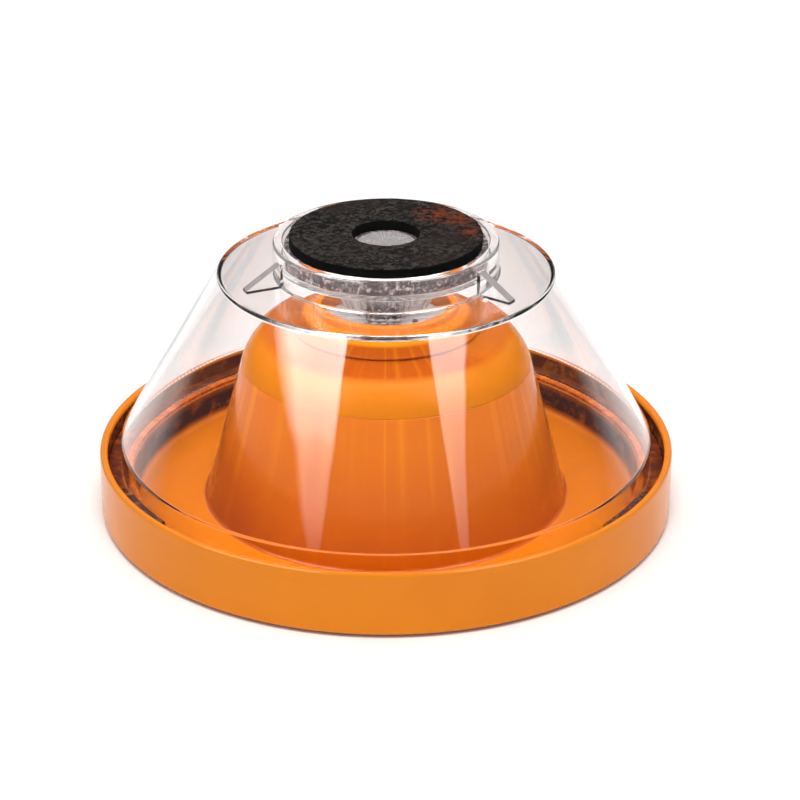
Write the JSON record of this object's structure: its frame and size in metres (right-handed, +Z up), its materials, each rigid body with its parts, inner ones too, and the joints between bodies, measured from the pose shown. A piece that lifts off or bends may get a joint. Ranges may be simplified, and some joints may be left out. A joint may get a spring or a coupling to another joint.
{
  "type": "led safety flare",
  "caption": "Round orange warning light: a tray with a conical turret under a clear twist-off lens, topped by a ring magnet with a rubber pad.",
  "frame": {"origin": "centre of the face it stands on, the underside of the rubber foot ring", "axes": "+Z up through the turret, the LED and the magnet; the button and the hatch are on the underside"},
  "size_m": [0.12, 0.12, 0.0605],
  "materials": {
    "orange_plastic": "glossy injection-moulded orange plastic",
    "clear_plastic": "clear polished plastic",
    "reflector_plastic": "clear fluted light guide with a silvery look",
    "magnet": "dark sintered ferrite",
    "black_rubber": "matt black rubber with a fine grain",
    "seal_rubber": "smooth black seal rubber",
    "black_plastic": "matt black plastic",
    "circuit_board": "green solder resist",
    "white_board": "white coated metal-core board",
    "led_ceramic": "white ceramic package",
    "led_silicone": "clear silicone dome",
    "steel": "zinc-plated steel",
    "contact_metal": "nickel-plated spring steel",
    "cell_metal": "printed cell jacket, left plain",
    "lead_insulation": "soft wire insulation"
  },
  "bodies": {
    "base": {"base_tray": "orange_plastic", "turret_cap": "orange_plastic", "cap_screws": "steel", "lens_seal": "seal_rubber", "foot_ring": "black_rubber", "led_board": "white_board", "led_screws": "steel", "led_emitter": "led_ceramic", "led_dome": "led_silicone", "driver_board": "circuit_board", "driver_chip": "black_plastic", "driver_inductor": "black_plastic", "driver_capacitor": "cell_metal", "tact_switch": "black_plastic", "battery_holder": "black_plastic", "battery_cells": "cell_metal", "bridge_contact": "contact_metal", "terminal_contacts": "contact_metal", "battery_leads": "lead_insulation", "led_leads": "lead_insulation"},
    "lens": {"lens_shell": "clear_plastic", "fluted_reflector": "reflector_plastic", "ring_magnet": "magnet", "magnet_pad": "black_rubber"},
    "hatch": {"battery_hatch": "orange_plastic", "hatch_seal": "seal_rubber", "button_bezel": "orange_plastic"},
    "button": {"button_cap": "black_rubber", "button_plunger": "black_plastic"}
  },
  "joints": [
    {"name": "lens_twist", "type": "hinge", "parent": "base", "child": "lens", "pos_m": [0, 0, 0.0098], "axis": [0, 0, 1], "range_deg": [0, 30]},
    {"name": "hatch_turn", "type": "hinge", "parent": "base", "child": "hatch", "pos_m": [0, 0, 0.0022], "axis": [0, 0, -1], "range_deg": [0, 60]},
    {"name": "button_press", "type": "slide", "parent": "hatch", "child": "button", "axis": [0, 0, 1], "range_m": [0, 0.0015], "stiffness_N_per_m": 1000}
  ]
}
